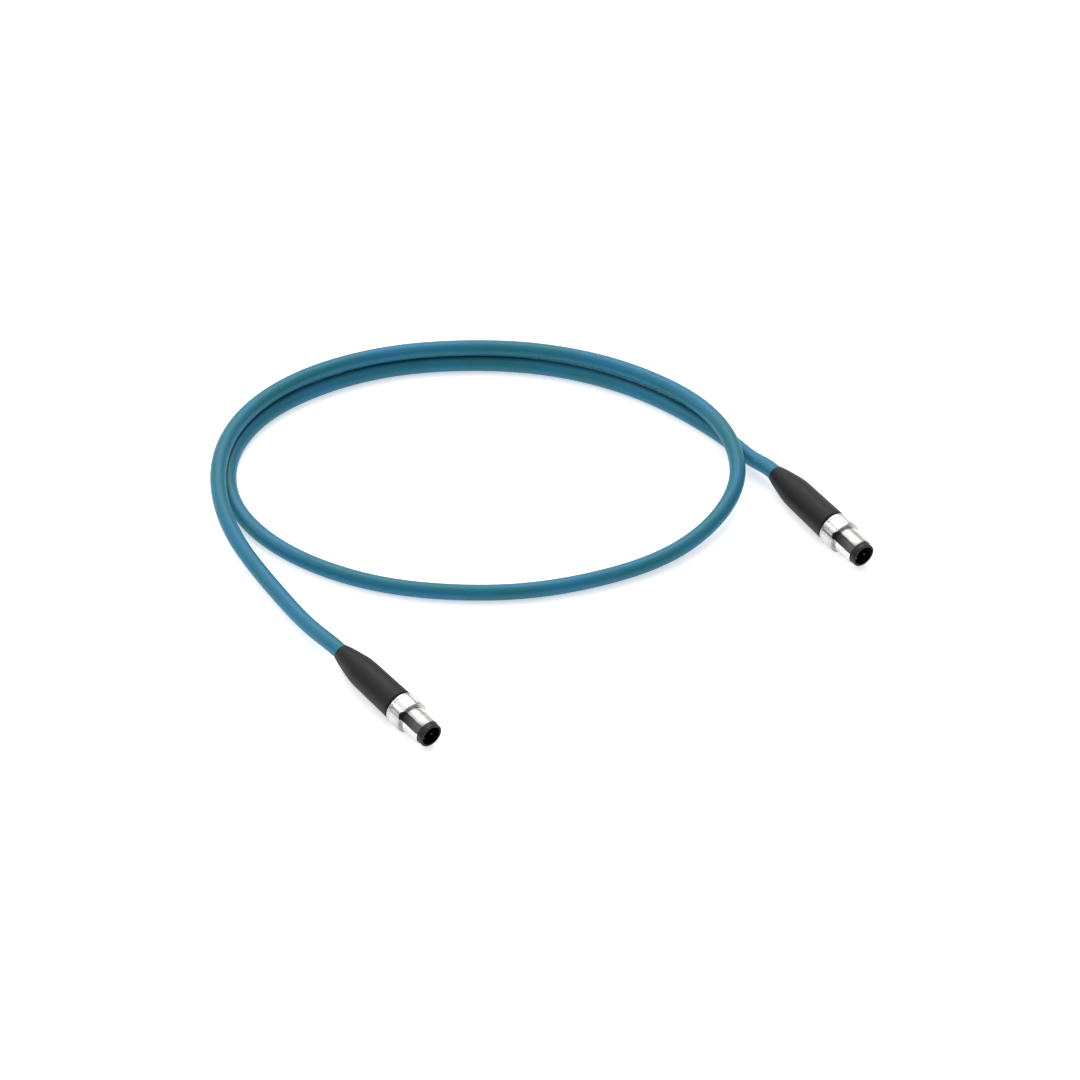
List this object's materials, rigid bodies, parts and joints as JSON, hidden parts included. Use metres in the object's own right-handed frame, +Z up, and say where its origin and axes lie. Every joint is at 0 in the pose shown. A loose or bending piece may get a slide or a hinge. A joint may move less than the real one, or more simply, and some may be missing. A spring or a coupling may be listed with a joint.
{
  "type": "screw-coupled data cable",
  "caption": "Shielded teal data cable laid in one and a half turns, with a slim screw-coupled circular plug moulded on each end.",
  "frame": {"origin": "centre of the lay's bounding box, on the surface that the cable lies on", "axes": "+Z up from the surface; +X along the lay's longest extent, towards plug b; plug a lies at -X, -Y"},
  "size_m": [0.2765, 0.2324, 0.0146],
  "materials": {
    "jacket_teal": "satin extruded polyurethane, water blue",
    "grip_black": "matt moulded polyurethane with a fine eroded texture",
    "mould_grey": "low-pressure moulded polyamide",
    "plated_sleeve": "tin-plated brass",
    "tinned_braid": "tinned copper wire braid",
    "core_insulation": "extruded core insulation, one colour to a core",
    "carrier_black": "moulded glass-filled polyamide",
    "contact_gold": "gold-plated turned brass",
    "seal_rubber": "moulded rubber",
    "spring_steel": "spring steel",
    "nickel": "bright nickel plate on turned brass"
  },
  "bodies": {
    "lead": {"cable_jacket": "jacket_teal", "grip_a": "grip_black", "inner_mould_a": "mould_grey", "shield_sleeve_a": "plated_sleeve", "crimp_ferrule_a": "plated_sleeve", "braid_end_a": "tinned_braid", "core_wires_a": "core_insulation", "contact_carrier_a": "carrier_black", "contact_pins_a": "contact_gold", "carrier_seal_a": "seal_rubber", "grip_b": "grip_black", "inner_mould_b": "mould_grey", "shield_sleeve_b": "plated_sleeve", "crimp_ferrule_b": "plated_sleeve", "braid_end_b": "tinned_braid", "core_wires_b": "core_insulation", "contact_carrier_b": "carrier_black", "contact_pins_b": "contact_gold", "carrier_seal_b": "seal_rubber"},
    "clip_a": {"retaining_ring_a": "spring_steel"},
    "coupling_a": {"coupling_ring_a": "nickel"},
    "clip_b": {"retaining_ring_b": "spring_steel"},
    "coupling_b": {"coupling_ring_b": "nickel"}
  },
  "joints": [
    {"name": "ring_slide_a", "type": "slide", "parent": "lead", "child": "clip_a", "axis": [0.617, -0.7869, 0], "range_m": [0, 0.002]},
    {"name": "ring_spin_a", "type": "hinge", "parent": "clip_a", "child": "coupling_a", "pos_m": [-0.05598, -0.09871, 0.0073], "axis": [0.617, -0.7869, 0], "continuous": true},
    {"name": "ring_slide_b", "type": "slide", "parent": "lead", "child": "clip_b", "axis": [0.5906, -0.807, 0], "range_m": [0, 0.002]},
    {"name": "ring_spin_b", "type": "hinge", "parent": "clip_b", "child": "coupling_b", "pos_m": [0.12308, 0.00514, 0.0073], "axis": [0.5906, -0.807, 0], "continuous": true}
  ]
}
